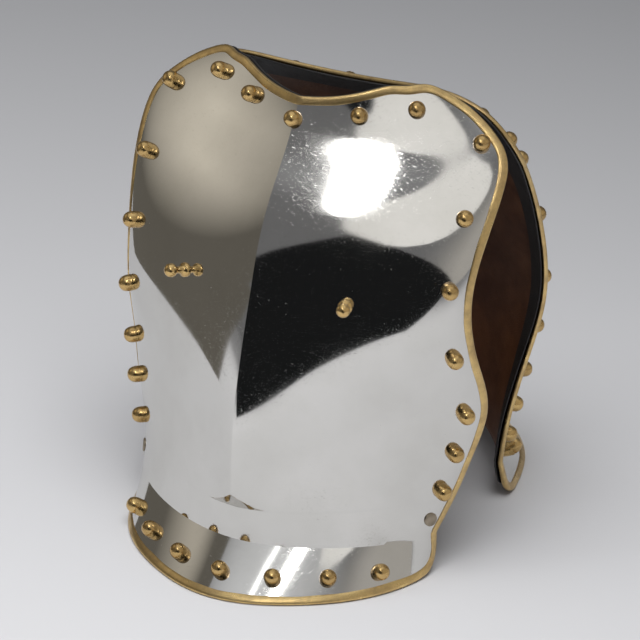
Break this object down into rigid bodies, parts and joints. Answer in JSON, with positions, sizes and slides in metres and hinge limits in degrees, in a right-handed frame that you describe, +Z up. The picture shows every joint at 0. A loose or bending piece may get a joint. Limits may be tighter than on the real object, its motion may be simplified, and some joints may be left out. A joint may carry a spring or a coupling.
{
  "type": "cuirass",
  "caption": "Polished steel cavalry cuirass: breastplate and backplate with folded brass edging, brass studs, leather lining and black leather borders, standing on flared waist flanges.",
  "frame": {"origin": "on the floor, at the middle of the box around the object: halfway between the breastplate's and the backplate's flange rims", "axes": "+Z up; the breastplate faces -Y and the backplate +Y; the plane X = 0 is the plane of symmetry and +X is the wearer's left"},
  "size_m": [0.3322, 0.4149, 0.3918],
  "materials": {
    "steel": "mirror-polished bare steel with fine scratches",
    "brass": "polished, a little worn and toned",
    "lining": "dark brown, worn smooth",
    "border": "black, dull, slightly creased",
    "rivet": "flat iron rivet, dulled"
  },
  "bodies": {
    "root": {"back_border": "border", "back_edging": "brass", "back_lining": "lining", "back_stud_top_0": "brass", "back_stud_top_l1": "brass", "back_stud_top_l2": "brass", "back_stud_top_l3": "brass", "back_stud_top_l4": "brass", "back_stud_top_r1": "brass", "back_stud_top_r2": "brass", "back_stud_top_r3": "brass", "back_stud_top_r4": "brass", "backplate": "steel", "breast_border": "border", "breast_edging": "brass", "breast_lining": "lining", "breast_stud_flange_0": "brass", "breast_stud_flange_l1": "brass", "breast_stud_flange_l2": "brass", "breast_stud_flange_l3": "brass", "breast_stud_flange_r1": "brass", "breast_stud_flange_r2": "brass", "breast_stud_flange_r3": "brass", "breast_stud_side_l1": "brass", "breast_stud_side_l2": "brass", "breast_stud_side_l3": "brass", "breast_stud_side_l4": "brass", "breast_stud_side_l5": "brass", "breast_stud_side_l6": "brass", "breast_stud_side_l7": "brass", "breast_stud_side_r1": "brass", "breast_stud_side_r2": "brass", "breast_stud_side_r3": "brass", "breast_stud_side_r4": "brass", "breast_stud_side_r5": "brass", "breast_stud_side_r6": "brass", "breast_stud_side_r7": "brass", "breast_stud_top_0": "brass", "breast_stud_top_l1": "brass", "breast_stud_top_l2": "brass", "breast_stud_top_r1": "brass", "breast_stud_top_r2": "brass", "breastplate": "steel", "chest_button_l": "brass", "chest_button_r": "brass", "flat_rivet_l": "rivet", "flat_rivet_r": "rivet"}
  },
  "joints": []
}
